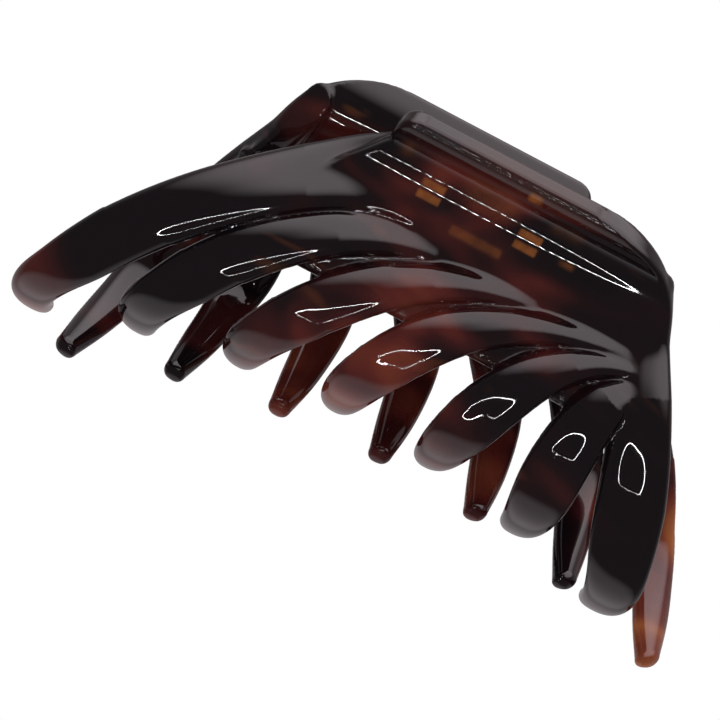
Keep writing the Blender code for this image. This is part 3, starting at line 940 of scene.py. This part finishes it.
back = Vector(
    (
        math.sin(CAMERA_TURN) * math.cos(CAMERA_RISE),
        -math.cos(CAMERA_TURN) * math.cos(CAMERA_RISE),
        math.sin(CAMERA_RISE),
    )
)
right = Vector((math.cos(CAMERA_TURN), math.sin(CAMERA_TURN), 0.0))
up = back.cross(right)
eye = right * CAMERA_SHIFT[0] + up * CAMERA_SHIFT[1] + back * CAMERA_SHIFT[2]
eye = eye + Vector((0.0, 0.0, HINGE_HEIGHT))
across = right * math.cos(CAMERA_ROLL) + up * math.sin(CAMERA_ROLL)
upward = up * math.cos(CAMERA_ROLL) - right * math.sin(CAMERA_ROLL)
lens = bpy.data.cameras.new("camera")
lens.sensor_width = SENSOR
lens.lens = FOCUS / PICTURE_SIDE * SENSOR
lens.clip_start = 0.01
camera = bpy.data.objects.new("camera", lens)
bpy.context.scene.collection.objects.link(camera)
axes = Matrix((across, upward, back)).transposed().to_4x4()
camera.matrix_world = Matrix.Translation(eye) @ axes
bpy.context.scene.camera = camera


SQUARE = ((-1, -1), (1, -1), (1, 1), (-1, 1))


def glowing(name, strength):
    """Plain surface that gives white light."""
    made = bpy.data.materials.new(name)
    made.use_nodes = True
    tree = made.node_tree
    tree.nodes.remove(tree.nodes["Principled BSDF"])
    glow = node(tree, "ShaderNodeEmission", (0, 0))
    glow.inputs["Color"].default_value = (1.0, 1.0, 1.0, 1.0)
    glow.inputs["Strength"].default_value = strength
    tree.links.new(glow.outputs["Emission"], tree.nodes["Material Output"].inputs["Surface"])
    return made


FLOOR_HALF = 1.2
FLOOR_DROP = 0.0004
floor_mesh = bpy.data.meshes.new("floor")
floor_corners = [(a * FLOOR_HALF, b * FLOOR_HALF, 0.0) for a, b in SQUARE]
floor_mesh.from_pydata(floor_corners, [], [(0, 1, 2, 3)])
floor = bpy.data.objects.new("floor", floor_mesh)
bpy.context.scene.collection.objects.link(floor)
floor.location = (0.0, 0.0, -FLOOR_DROP)
floor_mesh.materials.append(glowing("floor_white", 1.0))
floor.visible_glossy = False
floor.visible_transmission = False

# Strip lamp round the lens: a row of small lit squares on a ring, as on a light box.
RING_RADIUS = 0.046
RING_COUNT = 96
LAMP_SIDE = 0.0014
RING_STRENGTH = 160.0
RING_BACK = -0.004
RING_DROP = 0.036
RING_ASIDE = 0.010
ring_centre = eye + back * RING_BACK - up * RING_DROP - across * RING_ASIDE
dots = []
dot_faces = []
for k in range(RING_COUNT):
    angle = 2 * math.pi * k / RING_COUNT
    radial = across * math.cos(angle) + upward * math.sin(angle)
    tangent = upward * math.cos(angle) - across * math.sin(angle)
    spot = ring_centre + radial * RING_RADIUS
    for a, b in SQUARE:
        dots.append(spot + radial * a * LAMP_SIDE / 2 + tangent * b * LAMP_SIDE / 2)
    dot_faces.append(tuple(range(4 * k, 4 * k + 4)))
ring_mesh = bpy.data.meshes.new("ring_lamp")
ring_mesh.from_pydata([tuple(d) for d in dots], [], dot_faces)
ring = bpy.data.objects.new("ring_lamp", ring_mesh)
bpy.context.scene.collection.objects.link(ring)
ring_mesh.materials.append(glowing("ring_lamp_white", RING_STRENGTH))
ring.visible_camera = False

world = bpy.data.worlds.new("studio")
bpy.context.scene.world = world
world.use_nodes = True
world_tree = world.node_tree
seen = world_tree.nodes["Background"]
seen.inputs["Color"].default_value = (1.0, 1.0, 1.0, 1.0)
seen.inputs["Strength"].default_value = 1.0
studio = node(world_tree, "ShaderNodeBackground", (0, -200))
way = node(world_tree, "ShaderNodeTexCoord", (-1000, -200))
parts = node(world_tree, "ShaderNodeSeparateXYZ", (-800, -200))
world_tree.links.new(way.outputs["Generated"], parts.inputs["Vector"])


def soft_light(axis, start, full, weakest, strongest):
    """Light that grows from start to full along one axis of the direction."""
    light = node(world_tree, "ShaderNodeMapRange", (-600, 0), interpolation_type="SMOOTHSTEP")
    for name, value in (
        ("From Min", start),
        ("From Max", full),
        ("To Min", weakest),
        ("To Max", strongest),
    ):
        light.inputs[name].default_value = value
    world_tree.links.new(parts.outputs[axis], light.inputs["Value"])
    return light.outputs["Result"]


def brighter(first, second):
    """The stronger of two lights."""
    most = node(world_tree, "ShaderNodeMath", (-300, -200), operation="MAXIMUM")
    world_tree.links.new(first, most.inputs[0])
    world_tree.links.new(second, most.inputs[1])
    return most.outputs["Value"]


behind = soft_light("Y", -0.25, 0.35, 0.12, 0.35)
overhead = soft_light("Z", 0.62, 0.88, 0.0, 2.2)
table = soft_light("Z", -0.62, -0.90, 0.0, 0.75)
level = brighter(brighter(behind, overhead), table)
world_tree.links.new(level, studio.inputs["Strength"])
studio.inputs["Color"].default_value = (1.0, 0.92, 0.95, 1.0)
path = node(world_tree, "ShaderNodeLightPath", (-300, 200))
choice = node(world_tree, "ShaderNodeMixShader", (250, 0))
world_tree.links.new(path.outputs["Is Camera Ray"], choice.inputs["Fac"])
world_tree.links.new(studio.outputs["Background"], choice.inputs[1])
world_tree.links.new(seen.outputs["Background"], choice.inputs[2])
world_tree.links.new(choice.outputs["Shader"], world_tree.nodes["World Output"].inputs["Surface"])
bpy.context.scene.view_settings.view_transform = "Standard"
